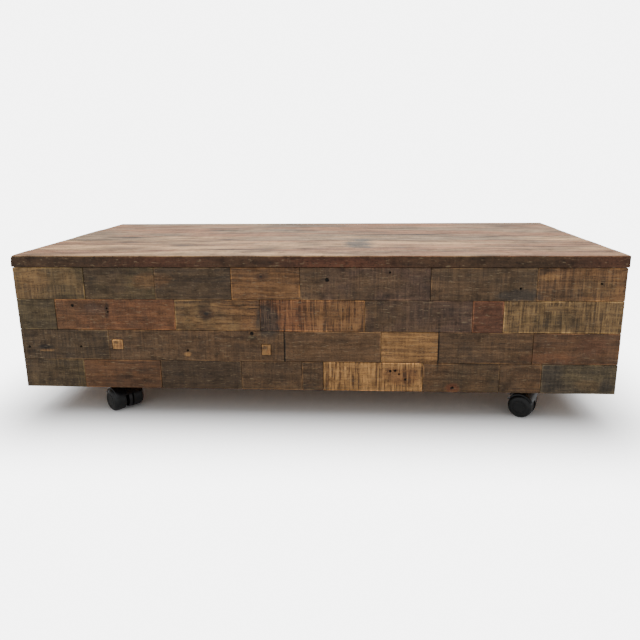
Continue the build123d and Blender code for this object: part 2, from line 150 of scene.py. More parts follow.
def noise(tree, position, detail=3.0, roughness=0.55):
    """A noise value from 0 to 1."""
    inputs = {"Vector": position, "Scale": 1.0, "Detail": detail, "Roughness": roughness}
    return put(tree, "ShaderNodeTexNoise", inputs).outputs["Fac"]


def group(tree, source, inputs):
    """The outputs of a placed node group."""
    return put(tree, "ShaderNodeGroup", inputs, node_tree=source).outputs


def wood_figure():
    """The growth bands, pores and splits of a sawn board. Position runs along, across and into the grain."""
    sway_size = (0.11, 0.030, 0.030)
    band_length, band_depth = 0.22, 0.02
    pore_size = (0.030, 0.0011, 0.0015)
    split_size = (0.075, 0.0045, 0.006)
    sockets = {"Position": "Vector", "Band Width": "Float", "Waviness": "Float"}
    outputs = {"Bands": "Float", "Pores": "Float", "Splits": "Float"}
    tree, given, result = node_tree("wood_figure", "ShaderNodeTree", sockets, outputs)
    sway = noise(tree, stretched(tree, given["Position"], *sway_size), 2.0)
    sway = calc(tree, "MULTIPLY", calc(tree, "SUBTRACT", sway, 0.5), given["Waviness"])
    offset = put(tree, "ShaderNodeCombineXYZ", {"Y": sway}).outputs[0]
    swayed = put(tree, "ShaderNodeVectorMath", {0: given["Position"], 1: offset}, operation="ADD").outputs[0]
    band_size = {"X": band_length, "Y": given["Band Width"], "Z": band_depth}
    width = put(tree, "ShaderNodeCombineXYZ", band_size).outputs[0]
    bands_at = put(tree, "ShaderNodeVectorMath", {0: swayed, 1: width}, operation="DIVIDE").outputs[0]
    bands = noise(tree, bands_at, 4.0, 0.62)
    tree.links.new(remap(tree, bands, 0.32, 0.68), result["Bands"])
    pores = noise(tree, stretched(tree, swayed, *pore_size), 2.0, 0.6)
    tree.links.new(remap(tree, pores, 0.30, 0.70), result["Pores"])
    splits = noise(tree, stretched(tree, swayed, *split_size), 3.0, 0.5)
    tree.links.new(remap(tree, splits, 0.66, 0.735), result["Splits"])
    return tree


figure = wood_figure()


def new_material(name, roughness=0.6, coat=0.0, metallic=0.0):
    """A material with its tree and its shader."""
    material = bpy.data.materials.new(name)
    material.use_nodes = True
    shader = material.node_tree.nodes["Principled BSDF"]
    shader.inputs["Roughness"].default_value = roughness
    shader.inputs["Coat Weight"].default_value = coat
    shader.inputs["Metallic"].default_value = metallic
    return material, material.node_tree, shader


def bump(tree, shader, height, distance, strength=1.0):
    """Feeds a height to a shader's normal. The distance is in metres."""
    inputs = {"Height": height, "Distance": distance, "Strength": strength}
    tree.links.new(put(tree, "ShaderNodeBump", inputs).outputs["Normal"], shader.inputs["Normal"])


def tint(r, g, b):
    """A finish's colour as a paint chart gives it, from 0 to 255, in the shader's linear light."""
    channels = [c / 255 for c in (r, g, b)]
    linear = [c / 12.92 if c <= 0.04045 else ((c + 0.055) / 1.055) ** 2.4 for c in channels]
    return (*linear, 1.0)


def board_material(name, turn):
    """Bare planed softwood, with its grain turned to run along X after the turn."""
    early_wood, late_wood = tint(196, 158, 112), tint(160, 118, 76)
    pore_brown, patch_brown = tint(112, 78, 48), tint(120, 92, 66)
    patch_size = (0.30, 0.12, 0.12)
    material, tree, shader = new_material(name, 0.62)
    mapping = {"Vector": object_place(tree), "Rotation": turn}
    at = put(tree, "ShaderNodeMapping", mapping).outputs[0]
    wood = group(tree, figure, {"Position": at, "Band Width": 0.011, "Waviness": 0.016})
    colour = mix(tree, wood["Bands"], early_wood, late_wood)
    colour = mix(tree, calc(tree, "MULTIPLY", wood["Pores"], 0.22), colour, pore_brown)
    patches = noise(tree, stretched(tree, at, *patch_size), 3.0)
    colour = mix(tree, remap(tree, patches, 0.45, 0.75, 0.0, 0.35), colour, patch_brown)
    tree.links.new(colour, shader.inputs["Base Color"])
    tree.links.new(remap(tree, wood["Pores"], 0.0, 1.0, 0.52, 0.74), shader.inputs["Roughness"])
    bump(tree, shader, calc(tree, "ADD", wood["Bands"], wood["Pores"]), 0.0002, 0.5)
    return material


def finish(node, material):
    """Gives a CAD node its material."""
    data = frame["nodes"][node].data
    data.materials.clear()
    data.materials.append(material)


quarter = math.pi / 2
board_along_x = board_material("board_along_x", (0, 0, 0))
board_along_y = board_material("board_along_y", (0, 0, -quarter))
board_along_z = board_material("board_along_z", (0, quarter, 0))
for node in ("front_wall", "back_wall", "bottom_panel", "front_sill", "back_sill"):
    finish(node, board_along_x)
for node in ("left_wall", "right_wall", "lid_batten_left", "lid_batten_middle", "lid_batten_right"):
    finish(node, board_along_y)
finish("corner_posts", board_along_z)

# ------------------------------------------------------------------------------
# Cladding: blocks sawn from old boards of many timbers, laid in four courses and glued to the carcass.
# Neighbours are planed to different thicknesses. Their faces keep saw marks, splits and weathering, and
# their arrises are rubbed and chipped.
# ------------------------------------------------------------------------------

tones = {
    "blond": tint(156, 119, 80),
    "straw": tint(116, 94, 66),
    "honey": tint(116, 85, 57),
    "orange": tint(112, 75, 51),
    "russet": tint(97, 68, 46),
    "cedar": tint(87, 62, 43),
    "red": tint(88, 57, 42),
    "rust": tint(126, 78, 52),
    "plum": tint(80, 62, 54),
    "umber": tint(92, 70, 50),
    "brown": tint(86, 67, 50),
    "bark": tint(75, 60, 44),
    "soot": tint(68, 54, 41),
    "olive": tint(78, 66, 46),
    "moss": tint(86, 76, 58),
    "grey": tint(74, 66, 56),
    "ink": tint(56, 51, 48),
    "black": tint(20, 16, 13),
}

# A block is the tones of its left and right ends, how strongly it was sawn and how open its grain is.
front_blocks = [
    [("straw", "olive", 0.40, 0.3), ("bark", "olive", 0.15, 0.35), ("bark", "soot", 0.05, 0.5),
     ("honey", "honey", 0.05, 1.0), ("brown", "plum", 0.30, 0.2), ("brown", "bark", 0.35, 0.3),
     ("umber", "honey", 0.50, 0.4)],
    [("moss", "olive", 0.25, 0.3), ("russet", "orange", 0.10, 0.45), ("straw", "honey", 0.05, 1.0),
     ("orange", "honey", 0.90, 0.35), ("brown", "plum", 0.35, 0.15), ("red", "red", 0.05, 0.15),
     ("straw", "straw", 0.80, 0.4)],
    [("bark", "bark", 0.40, 0.4), ("brown", "umber", 0.30, 0.25), ("umber", "umber", 0.10, 0.15),
     ("blond", "blond", 0.10, 0.9), ("brown", "umber", 0.15, 0.4), ("cedar", "cedar", 0.10, 0.35)],
    [("bark", "olive", 0.45, 0.35), ("russet", "cedar", 0.05, 0.35), ("soot", "soot", 0.15, 0.3),
     ("brown", "brown", 0.20, 0.25), ("umber", "brown", 0.25, 0.35), ("blond", "blond", 1.00, 0.35),
     ("umber", "bark", 0.20, 0.15), ("brown", "umber", 0.10, 0.3), ("grey", "moss", 0.25, 0.5)],
]

# Stains and pale rubbed places on the front: the middle along the chest and above the floor, the half
# lengths along and across, in millimetres, then the tone and its strength.
front_stains = [
    (-705, 362, 42, 26, "blond", 0.20), (-405, 364, 52, 18, "honey", 0.50), (-120, 375, 16, 12, "umber", 0.7),
    (505, 329, 55, 15, "ink", 0.80), (578, 375, 24, 9, "blond", 0.55), (690, 345, 50, 22, "straw", 0.45),
    (-560, 290, 30, 14, "plum", 0.60), (-523, 285, 6, 20, "black", 0.60), (-268, 286, 20, 24, "soot", 0.75),
    (-112, 260, 30, 50, "ink", 0.80), (110, 272, 30, 36, "honey", 0.40), (600, 262, 70, 22, "olive", 0.5),
    (-695, 187, 20, 5, "black", 0.75), (-693, 177, 16, 2.4, "blond", 0.70), (-319, 171, 7, 6, "blond", 0.9),
    (-151, 217, 10, 5, "moss", 0.90), (-68, 193, 2.2, 50, "black", 0.95),
    (318.5, 193, 2.6, 50, "black", 0.95),
    (440, 215, 120, 12, "umber", 0.50), (595, 168, 60, 13, "orange", 0.55), (690, 203, 38, 24, "red", 0.45),
    (357, 86, 16, 13, "rust", 0.75), (228, 118, 44, 24, "orange", 0.55), (-6, 100, 20, 30, "ink", 0.30),
    (602, 112, 26, 46, "ink", 0.60), (690, 100, 30, 14, "straw", 0.40), (735, 96, 16, 20, "ink", 0.60),
]
# Level cracks on the front: the two ends along the chest, the height above the floor and the depth, in
# millimetres.
front_cracks = [
    (556, 750, 365, 1.6), (322, 476, 191, 1.4), (-300, -190, 262, 1.2), (-190, -130, 283, 1.0),
    (-240, -150, 300, 1.2), (-330, -215, 375, 0.9), (-200, -75, 346, 1.0), (560, 640, 372, 0.8),
]
# Square nail pockets that are let in with pegs: each peg's place, its width and its height, in millimetres.
pegs = [(-502, 195, 27, 25), (-115, 184, 23, 27)]
block_step = 4.0 * MM  # between a face's grid lines
depth_step = 8.0 * MM  # between the grid lines into the wood
arris_lines = np.array([0.0, 0.5, 1.2, 2.2, 3.6, 5.6]) * MM
crack_lines = np.array([-2.0, -0.7, 0.0, 0.7, 2.0]) * MM
nail_hole_lines = np.array([-1.5, -1.0, -0.6, 0.0, 0.6, 1.0, 1.5])  # in the hole's radii
both_ways = np.array([-1.0, 1.0])
nail_hole_depth = 5.0 * MM
crack_half_width = 0.9 * MM
crack_taper = 15.0 * MM  # along a crack, from each end to its full depth
socket_depth = 7.0 * MM
socket_margin = 0.8  # millimetres round a peg
socket_wall = 0.5 * MM
block_wear = 1.1 * MM  # the usual radius of a rubbed arris
block_hollow = 0.4 * MM  # how far weathering eats into a face
rub_highlight_reach = 2.6 * MM  # of the pale colour of a rubbed arris, partly wear and partly a painted highlight
least_sawn = 0.12
grain_spread = 7.3  # metres between two blocks' places in the timber that they were sawn from
touching = 1e-9


def lattice_lines(low, high, step, extra=()):
    """Grid lines along one side of a piece, closer together at its arrises and round the places given."""
    reach = min(arris_lines[-1], (high - low) / 3)
    edges = arris_lines[arris_lines <= reach]
    inner = np.linspace(low + edges[-1], high - edges[-1], max(2, round((high - low) / step)))
    lines = np.concatenate([low + edges, inner, high - edges, *extra])
    lines = np.unique(np.round(lines[(lines >= low) & (lines <= high)], 6))
    keep = np.append(True, np.diff(lines) > 0.2 * MM)
    keep[-1] = True
    return lines[keep]


def value_noise(points, size, seed):
    """Smooth random values from 0 to 1. The size of their features is one number, or one for each axis."""
    scaled = points / np.asarray(size) + seed * 17.31
    cell = np.floor(scaled)
    part = scaled - cell
    part = part * part * (3 - 2 * part)
    total = np.zeros(len(points))
    for corner in np.ndindex(2, 2, 2):
        corner = np.array(corner)
        at = (cell + corner) @ np.array([127.1, 311.7, 74.7])
        value = np.abs(np.sin(at) * 43758.5453) % 1.0
        total += value * np.prod(np.where(corner == 1, part, 1 - part), axis=1)
    return total


def shell(xs, ys, zs):
    """The outer skin of a grid of lines: its points, and quads that face outwards."""
    counts = (len(xs), len(ys), len(zs))
    index = -np.ones(counts, dtype=int)
    on_skin = np.zeros(counts, dtype=bool)
    for axis in range(3):
        for end in (0, -1):
            on_skin[tuple(end if a == axis else slice(None) for a in range(3))] = True
    index[on_skin] = np.arange(on_skin.sum())
    i, j, k = np.nonzero(on_skin)
    points = np.stack([xs[i], ys[j], zs[k]], axis=1)
    quads = []
    for axis in range(3):
        for end in (0, -1):
            side = index[tuple(end if a == axis else slice(None) for a in range(3))]
            loop = [side[:-1, :-1], side[1:, :-1], side[1:, 1:], side[:-1, 1:]]
            if (end == 0) != (axis == 1):
                loop = loop[::-1]
            quads.append(np.stack([corner.ravel() for corner in loop], axis=1))
    return points, np.concatenate(quads)


def rubbed(points, low, high, radius):
    """A square-edged piece's points with its arrises rounded. The radius may differ from point to point."""
    radius = np.minimum(radius, (high - low).min() / 2.2)[:, None]
    core = np.clip(points, low + radius, high - radius)
    away = points - core
    length = np.linalg.norm(away, axis=1, keepdims=True)
    return np.where(length > touching, core + away / np.maximum(length, touching) * radius, points)


def arris_distance(points, low, high):
    """How far each point is from the nearest arris."""
    gaps = np.sort(np.minimum(points - low, high - points), axis=1)
    return gaps[:, 1]


def face_level(low, high, axis, sign):
    """Where a piece's weathered face lies on the axis that it looks along."""
    return (high if sign > 0 else low)[axis]


def beside(points, place, axis):
    """How far each point is from a line through a place along an axis."""
    return np.linalg.norm(np.delete(points - np.array(place), axis, axis=1), axis=1)


def detail_lines(sides, pits, cracks, sockets):
    """Extra grid lines, by axis, that a face's nail holes, cracks and sockets need."""
    extra = {a: [] for a in range(3)}
    for _, _, z, _ in cracks:
        extra[2].append(z + crack_lines)
    for a in sides:
        for middle, half in sockets:
            extra[a].append(middle[a] + half[a] * both_ways)
            extra[a].append(middle[a] + (half[a] + socket_wall) * both_ways)
        for place, pit_radius in pits:
            extra[a].append(place[a] + pit_radius * nail_hole_lines)
    return extra


def cut_into(depth, points, axis, sides, pits, cracks, sockets):
    """A face's depth at each point, once its nail holes, cracks and sockets are cut."""
    for place, pit_radius in pits:
        inward = np.clip(1.25 - beside(points, place, axis) / pit_radius, 0, 1)
        depth = depth + nail_hole_depth * inward**0.5
    for start, end, z, crack_depth in cracks:
        taper = np.clip(np.minimum(points[:, 0] - start, end - points[:, 0]) / crack_taper, 0, 1)
        narrow = np.clip(1 - np.abs(points[:, 2] - z) / crack_half_width, 0, 1)
        depth = depth + crack_depth * taper * narrow
    for middle, half in sockets:
        inside = [np.abs(points[:, a] - middle[a]) < half[a] + 0.1 * MM for a in sides]
        depth = np.where(inside[0] & inside[1], socket_depth, depth)
    return depth


def weathered_piece(low, high, face, wear, seed, hollow=block_hollow, pits=(), cracks=(), sockets=(),
                    worn=None, step=block_step):
    """A sawn piece of old wood. The face is the axis and sign of its weathered side."""
    low, high = np.array(low), np.array(high)
    axis, sign = face
    sides = [a for a in range(3) if a != axis]
    extra = detail_lines(sides, pits, cracks, sockets)
    lines = [
        lattice_lines(low[a], high[a], depth_step if a == axis else step, extra[a])
        for a in range(3)
    ]
    points, quads = shell(*lines)
    chips = value_noise(points, 0.017, seed) * value_noise(points, 0.006, seed + 3)
    radius = wear * (0.35 + 1.2 * value_noise(points, 0.06, seed + 1) + 5.0 * np.clip(chips - 0.42, 0, 1))
    if worn is not None:
        corner, worn_radius, worn_reach = worn
        from_corner = np.linalg.norm(points - np.array(corner), axis=1)
        radius = radius + worn_radius * np.exp(-from_corner / worn_reach)
    shaped = rubbed(points, low, high, radius)
    on_face = np.abs(points[:, axis] - face_level(low, high, axis, sign)) < touching
    swell = value_noise(points, (0.07, 0.07, 0.03), seed + 5) * hollow
    ridges = value_noise(points, (0.05, 0.05, 0.007), seed + 6) * hollow * 0.5
    depth = cut_into(swell + ridges, points, axis, sides, pits, cracks, sockets)
    shaped[:, axis] -= sign * np.where(on_face, depth, 0.0)
    return points, shaped, quads


def add_piece(name, mesh, body, replaced):
    """Puts a piece in the scene. It rides with a body and stands for some CAD nodes."""
    piece = bpy.data.objects.new(name, mesh)
    bpy.context.scene.collection.objects.link(piece)
    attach(piece, body)
    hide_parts(*replaced)


def build_piece(name, parts, material, body, replaced=()):
    """Joins parts into one piece, with what its material reads at each point."""
    first = np.cumsum([0] + [len(part["points"]) for part in parts[:-1]])
    points = np.concatenate([part["points"] for part in parts])
    quads = np.concatenate([part["quads"] + start for part, start in zip(parts, first)])
    mesh = bpy.data.meshes.new(name)
    mesh.from_pydata(points.tolist(), [], quads.tolist())
    for label, kind, field, width in (
        ("tone", "FLOAT_COLOR", "color", 4), ("grain", "FLOAT_VECTOR", "vector", 3),
        ("marks", "FLOAT_VECTOR", "vector", 3), ("knot", "FLOAT_VECTOR", "vector", 3),
    ):
        values = np.concatenate([part[label] for part in parts]).astype(np.float32)
        assert values.shape == (len(points), width)
        mesh.attributes.new(label, kind, "POINT").data.foreach_set(field, values.ravel())
    mesh.materials.append(material)
    mesh.shade_smooth()
    add_piece(name, mesh, body, replaced)


def solid_boxes(node):
    """The lowest and highest corners of each separate solid in a CAD node."""
    mesh = frame["nodes"][node].data
    count = len(mesh.vertices)
    places = np.empty(count * 3)
    mesh.vertices.foreach_get("co", places)
    places = places.reshape(-1, 3).round(5)
    keys, same = np.unique(places, axis=0, return_inverse=True)
    parent = np.arange(len(keys))
    corners = np.empty(len(mesh.loops), dtype=int)
    mesh.loops.foreach_get("vertex_index", corners)
    triangles = same.ravel()[corners].reshape(-1, 3)
    changed = True
    while changed:
        lowest = parent[triangles].min(axis=1)
        before = parent.copy()
        for column in range(3):
            np.minimum.at(parent, triangles[:, column], lowest)
        changed = bool((parent != before).any())
    solids = [keys[parent == root] for root in np.unique(parent)]
    return [(solid.min(axis=0), solid.max(axis=0)) for solid in solids]


def shade_block(points, low, high, along, first, second, seed):
    """Each point's colour: the first tone, stained towards the second at one end, pale at arrises from
    rubbing and a painted highlight.
    """
    share = (points[:, along] - low[along]) / (high[along] - low[along])
    patch = value_noise(points, 0.045, seed + 9) * 0.65 + value_noise(points, 0.016, seed + 10) * 0.35
    stain = np.clip((share - 0.5) + (patch - 0.5) * 1.6 + 0.5, 0, 1)[:, None]
    colour = np.array(first) * (1 - stain) + np.array(second) * stain
    cloud = value_noise(points, (0.05, 0.05, 0.025), seed + 13) * value_noise(points, 0.013, seed + 14)
    colour = colour * (1.18 - 0.72 * cloud[:, None])
    # Rubbed wear and painted highlight: the arrises are made paler in patches, as worn wood and as light
    # caught on the edges.
    near_arris = np.clip(1.3 - arris_distance(points, low, high) / rub_highlight_reach, 0, 1)
    rub_and_highlight = near_arris * np.clip(value_noise(points, 0.05, seed + 11) * 4.5 - 2.0, 0, 1)
    colour = colour * (1 + 1.6 * rub_and_highlight[:, None])
    colour[:, 3] = 1.0
    return colour


def add_stains(colour, points, stains, axes, seed):
    """Lays ragged stains over a piece's colours. Their places and reaches are along the two axes."""
    ragged = value_noise(points, 0.016, seed + 20) * 0.6 + value_noise(points, 0.006, seed + 21) * 0.4 - 0.5
    across, up = points[:, axes[0]], points[:, axes[1]]
    for u, v, reach_u, reach_v, tone, strength in stains:
        away = np.hypot((across - u * MM) / (reach_u * MM), (up - v * MM) / (reach_v * MM))
        share = (np.clip((1.25 - away + ragged * 0.8) / 0.5, 0, 1) * strength)[:, None]
        colour = colour * (1 - share) + np.array(tones[tone]) * share
    return colour


def block_part(low, high, along, face, spec, seed, wear=block_wear, knot=None, pits=(), stains=(), **cuts):
    """A finished block: its shape, its colours, and its own place in the timber's grain."""
    first, second, sawn, open_grain = spec
    points, shaped, quads = weathered_piece(low, high, face, wear, seed, pits=pits, **cuts)
    axis, sign = face
    across = 3 - along - axis
    random = np.random.default_rng(seed)
    place_in_timber = random.uniform(0, grain_spread, 3)
    grain = (shaped - low)[:, [along, across, axis]] + place_in_timber
    if knot is None:
        knot = (random.uniform(0.1, 0.9), random.uniform(-3.0, -2.0), 0.0)
    size = high - low
    centre = np.array([knot[0] * size[along], knot[1] * size[across], 0.0]) + place_in_timber
    centre[2] = knot[2]
    pit_shade = np.zeros(len(points))
    for pit, radius in pits:
        pit_shade = np.maximum(pit_shade, np.clip(1.6 - beside(points, pit, axis) / radius, 0, 1))
    tone = shade_block(points, low, high, along, tones[first], tones[second], seed)
    tone = add_stains(tone, points, stains, (0, 2), seed)
    sunk = np.abs(shaped[:, axis] - face_level(low, high, axis, sign)) / MM
    cut_in = np.abs(points[:, axis] - shaped[:, axis]) > 0.8 * MM
    crack_shade = np.clip((sunk - 0.9) / 0.8, 0, 1) * cut_in
    tone[:, :3] *= ((1 - 0.93 * pit_shade) * (1 - 0.85 * crack_shade))[:, None]
    count = len(points)
    return {"points": shaped, "quads": quads, "tone": tone, "grain": grain,
            "marks": np.tile([sawn + least_sawn, open_grain, 0.0], (count, 1)),
            "knot": np.tile(centre, (count, 1))}


def old_wood_material(name, gloss=0.0, shine=0.5):
    """Old sawn wood that reads its tone, its grain, its marks and its knot from the piece."""
    saw_pitch = 0.0050
    knot_black = (0.012, 0.009, 0.008, 1.0)
    # Painted light: the warm colour of the studio light, multiplied into the wood's own colour.
    warm_light_tint = (0.99, 0.96, 0.82, 1.0)
    scuff_colour = tint(152, 132, 100)
    speck_size = (0.0042, 0.0022, 0.0030)
    blotch_size = (0.035, 0.022, 0.03)
    scuff_size = (0.016, 0.0026, 0.0040)
    rings_to_a_metre = 2600.0
    material, tree, shader = new_material(name, 0.7)

    def read(label, output):
        return put(tree, "ShaderNodeAttribute", attribute_name=label).outputs[output]

    def times(a, b):
        return calc(tree, "MULTIPLY", a, b)

    grain = read("grain", "Vector")
    marks = put(tree, "ShaderNodeSeparateXYZ", {0: read("marks", "Vector")}).outputs
    knot = put(tree, "ShaderNodeSeparateXYZ", {0: read("knot", "Vector")}).outputs
    here = put(tree, "ShaderNodeSeparateXYZ", {0: grain}).outputs
    aside = times(calc(tree, "SUBTRACT", here["X"], knot["X"]), 0.62)
    above = calc(tree, "SUBTRACT", here["Y"], knot["Y"])
    distance = calc(tree, "SQRT", calc(tree, "ADD", times(aside, aside), times(above, above)))
    reach = calc(tree, "DIVIDE", distance, calc(tree, "MAXIMUM", knot["Z"], 0.001))
    push = times(times(remap(tree, reach, 0.6, 3.2, 1.0, 0.0), above), -0.62)
    pushed = put(tree, "ShaderNodeCombineXYZ", {"Y": push}).outputs[0]
    bent = put(tree, "ShaderNodeVectorMath", {0: grain, 1: pushed}, operation="ADD").outputs[0]

    wood = group(tree, figure, {"Position": bent, "Band Width": 0.0075, "Waviness": 0.022})
    saw = group(tree, saw_marks, {"Position": grain, "Pitch": saw_pitch})
    tone = read("tone", "Color")

    def toned(r, g, b):
        return mix(tree, 1.0, tone, (r, g, b, 1.0), "MULTIPLY")

    open_grain = marks["Y"]
    dark = toned(0.30, 0.26, 0.24)
    light = toned(1.95, 1.86, 1.70)
    depth = calc(tree, "ADD", 0.50, times(open_grain, 0.38))
    colour = mix(tree, times(wood["Bands"], depth), light, dark)
    colour = mix(tree, times(wood["Pores"], 0.38), colour, dark)
    speck = noise(tree, stretched(tree, grain, *speck_size), 2.0, 0.6)
    colour = mix(tree, remap(tree, speck, 0.44, 0.30, 0.0, 0.75), colour, dark)
    colour = mix(tree, remap(tree, speck, 0.58, 0.72, 0.0, 0.60), colour, light)
    split_depth = calc(tree, "ADD", 0.25, times(open_grain, 0.65))
    split = calc(tree, "MULTIPLY", wood["Splits"], split_depth, clamp=True)
    colour = mix(tree, split, colour, toned(0.12, 0.10, 0.09))
    sawn = times(saw["Mark"], marks["X"])
    colour = mix(tree, times(sawn, 0.95), colour, light)
    furrow = times(saw["Furrow"], marks["X"])
    colour = mix(tree, times(furrow, 0.75), colour, dark)
    blotch = noise(tree, stretched(tree, grain, *blotch_size), 5.0, 0.65)
    colour = mix(tree, remap(tree, blotch, 0.48, 0.78, 0.0, 0.75), colour, dark)
    rings = calc(tree, "SINE", times(distance, rings_to_a_metre))
    rings = times(remap(tree, rings, -1.0, 1.0, 0.35, 1.0), remap(tree, reach, 0.9, 1.6, 1.0, 0.0))
    colour = mix(tree, times(rings, 0.75), colour, toned(0.42, 0.22, 0.12))
    colour = mix(tree, remap(tree, reach, 0.25, 0.6, 0.85, 0.0), colour, knot_black)
    # Painted light: the wood's colour is tinted warm, as if lit by warm lamps.
    warm_lit_colour = mix(tree, 1.0, colour, warm_light_tint, "MULTIPLY")
    scuffs = noise(tree, stretched(tree, grain, *scuff_size), 3.0, 0.6)
    scuffed = mix(tree, remap(tree, scuffs, 0.59, 0.70, 0.0, 0.55), warm_lit_colour, scuff_colour)
    tree.links.new(scuffed, shader.inputs["Base Color"])
    shader.inputs["Specular IOR Level"].default_value = shine
    rough = calc(tree, "SUBTRACT", remap(tree, blotch, 0.2, 0.8, 0.58, 0.82), gloss)
    tree.links.new(rough, shader.inputs["Roughness"])
    height = calc(tree, "ADD", times(wood["Bands"], -0.4), times(wood["Pores"], -0.25))
    for relief, weight in ((split, -1.6), (sawn, 0.7), (furrow, -0.7)):
        height = calc(tree, "ADD", height, times(relief, weight))
    bump(tree, shader, height, 0.0006, 0.8)
    return material


def saw_mark_group():
    """The marks that a saw leaves across a board: raised strokes and dark furrows, broken up along them."""
    stroke_length = 0.09
    break_size = (0.03, 0.014, 1.0)
    sockets = {"Position": "Vector", "Pitch": "Float"}
    outputs = {"Mark": "Float", "Furrow": "Float"}
    tree, given, result = node_tree("saw_marks", "ShaderNodeTree", sockets, outputs)
    stroke_size = {"X": given["Pitch"], "Y": stroke_length, "Z": 1.0}
    size = put(tree, "ShaderNodeCombineXYZ", stroke_size).outputs[0]
    at = put(tree, "ShaderNodeVectorMath", {0: given["Position"], 1: size}, operation="DIVIDE").outputs[0]
    strokes = noise(tree, at, 2.0, 0.7)
    broken = noise(tree, stretched(tree, given["Position"], *break_size), 3.0, 0.6)
    mark = calc(tree, "MULTIPLY", remap(tree, strokes, 0.52, 0.60), remap(tree, broken, 0.34, 0.55))
    furrow = calc(tree, "MULTIPLY", remap(tree, strokes, 0.48, 0.38), remap(tree, broken, 0.3, 0.52))
    tree.links.new(mark, result["Mark"])
    tree.links.new(furrow, result["Furrow"])
    return tree


saw_marks = saw_mark_group()
block_wood = old_wood_material("block_wood")

# Knots on the front, by course and block: how far along the block, how far up it, and the radius in metres.
front_knots = {
    (0, 3): (0.44, 0.72, 0.006), (1, 2): (0.37, 0.55, 0.010), (2, 0): (0.27, 0.43, 0.006),
    (3, 6): (0.39, 0.14, 0.008),
}
# Nail holes on the front: along the chest from its middle, above the floor, and the radius, in millimetres.
front_pits = [
    (-613, 297, 3.2), (-523, 290, 1.8), (-521, 281, 1.8), (41, 366, 3.8), (-151, 227, 3.8), (-319, 180, 2.4),
    (-739, 186, 2.4), (-601, 188, 2.2), (200, 130, 2.6), (212, 131, 2.6), (222, 122, 2.0), (238, 108, 2.4),
    (575, 139, 2.6), (357, 88, 2.4), (510, 346, 2.2), (700, 358, 2.2), (195, 385, 2.0),
]


def front_part(course, number, low, high):
    """One block of the front, with the nail holes, cracks and sockets that fall on it."""

    def on_block(x, z):
        return low[0] < x * MM < high[0] and low[2] < z * MM < high[2]

    pits = [
        (np.array([x * MM, low[1], z * MM]), radius * MM)
        for x, z, radius in front_pits
        if on_block(x, z)
    ]
    cracks = [
        (max(start * MM, low[0]), min(end * MM, high[0]), z * MM, depth * MM)
        for start, end, z, depth in front_cracks
        if start * MM < high[0] and end * MM > low[0] and low[2] < z * MM < high[2]
    ]
    sockets = [
        (
            np.array([x * MM, low[1], z * MM]),
            np.array([width / 2 + socket_margin, 0.0, height / 2 + socket_margin]) * MM,
        )
        for x, z, width, height in pegs
        if on_block(x, z)
    ]
    spec = front_blocks[course][number]
    knot = front_knots.get((course, number))
    return block_part(low, high, 0, (1, -1), spec, 100 * course + number, knot=knot, pits=pits,
                      stains=front_stains, cracks=cracks, sockets=sockets)


def random_spec(seed):
    """A block of some timber, for the sides that are laid from what is left of the pile."""
    random = np.random.default_rng(seed)
    timbers = [spec for row in front_blocks for spec in row]
    first, second, sawn, open_grain = timbers[random.integers(len(timbers))]
    return first, second, float(np.clip(sawn + random.uniform(-0.15, 0.3), 0, 1)), open_grain


def random_knot(seed):
    """A knot in about two blocks out of five."""
    random = np.random.default_rng(seed + 900)
    if random.random() > 0.4:
        return None
    return random.uniform(0.15, 0.85), random.uniform(0.2, 0.8), random.uniform(0.004, 0.010)


def random_pits(low, high, axis, sign, seed):
    """A nail hole or two in about two blocks out of five."""
    random = np.random.default_rng(seed + 500)
    pits = []
    for _ in range(random.choice([0, 0, 0, 1, 2])):
        place = low + (high - low) * random.uniform(0.15, 0.85, 3)
        place[axis] = face_level(low, high, axis, sign)
        pits.append((place, random.uniform(1.6, 3.2) * MM))
    return pits


def side_blocks(name, node, along, face, seed):
    """All the blocks of one course of the back, or of one end."""
    parts = []
    for block_seed, (low, high) in enumerate(solid_boxes(node), seed):
        pits = random_pits(low, high, *face, block_seed)
        spec = random_spec(block_seed)
        knot = random_knot(block_seed)
        parts.append(block_part(low, high, along, face, spec, block_seed, knot=knot, pits=pits))
    build_piece(name, parts, block_wood, "chest_body", [node])


back_seeds, end_seeds = 1000, 2000
for course in range(4):
    node = f"front_course_{course + 1}"
    boxes = sorted(solid_boxes(node), key=lambda box: box[0][0])
    parts = [front_part(course, number, low, high) for number, (low, high) in enumerate(boxes)]
    build_piece(f"front_blocks_{course + 1}", parts, block_wood, "chest_body", [node])
    side_blocks(f"back_blocks_{course + 1}", f"back_course_{course + 1}", 0, (1, 1), back_seeds + 40 * course)
for side, sign in (("left", -1), ("right", 1)):
    side_blocks(f"{side}_end_cladding", f"{side}_end_blocks", 1, (0, sign), end_seeds + 100 * sign)

# ------------------------------------------------------------------------------
# Pegs: two square nail pockets in the third course, let in with pegs of a paler timber. Their grain stands
# upright, and both are split across.
# ------------------------------------------------------------------------------

peg_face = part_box("front_course_3")[0][1]
peg_thickness = 6.5 * MM
peg_wear = 0.6 * MM
peg_timber = ("blond", "blond", 0.2, 0.6)
peg_seeds = 2500
peg_parts = []
for number, (x, z, width, height) in enumerate(pegs):
    peg_low = np.array([x - width / 2, 0.0, z - height / 2]) * MM
    peg_high = np.array([x + width / 2, 0.0, z + height / 2]) * MM
    peg_low[1], peg_high[1] = peg_face, peg_face + peg_thickness
    split = (peg_low[0], peg_high[0], (z + 2) * MM, 2.2 * MM)
    peg_stains = [(x - 4, z + 6, 7, 5, "black", 0.6), (x + 6, z - 4, 8, 6, "rust", 0.35)]
    peg_parts.append(block_part(peg_low, peg_high, 2, (1, -1), peg_timber, peg_seeds + number, wear=peg_wear,
                                cracks=[split], stains=peg_stains))
build_piece("front_pegs", peg_parts, block_wood, "chest_body")
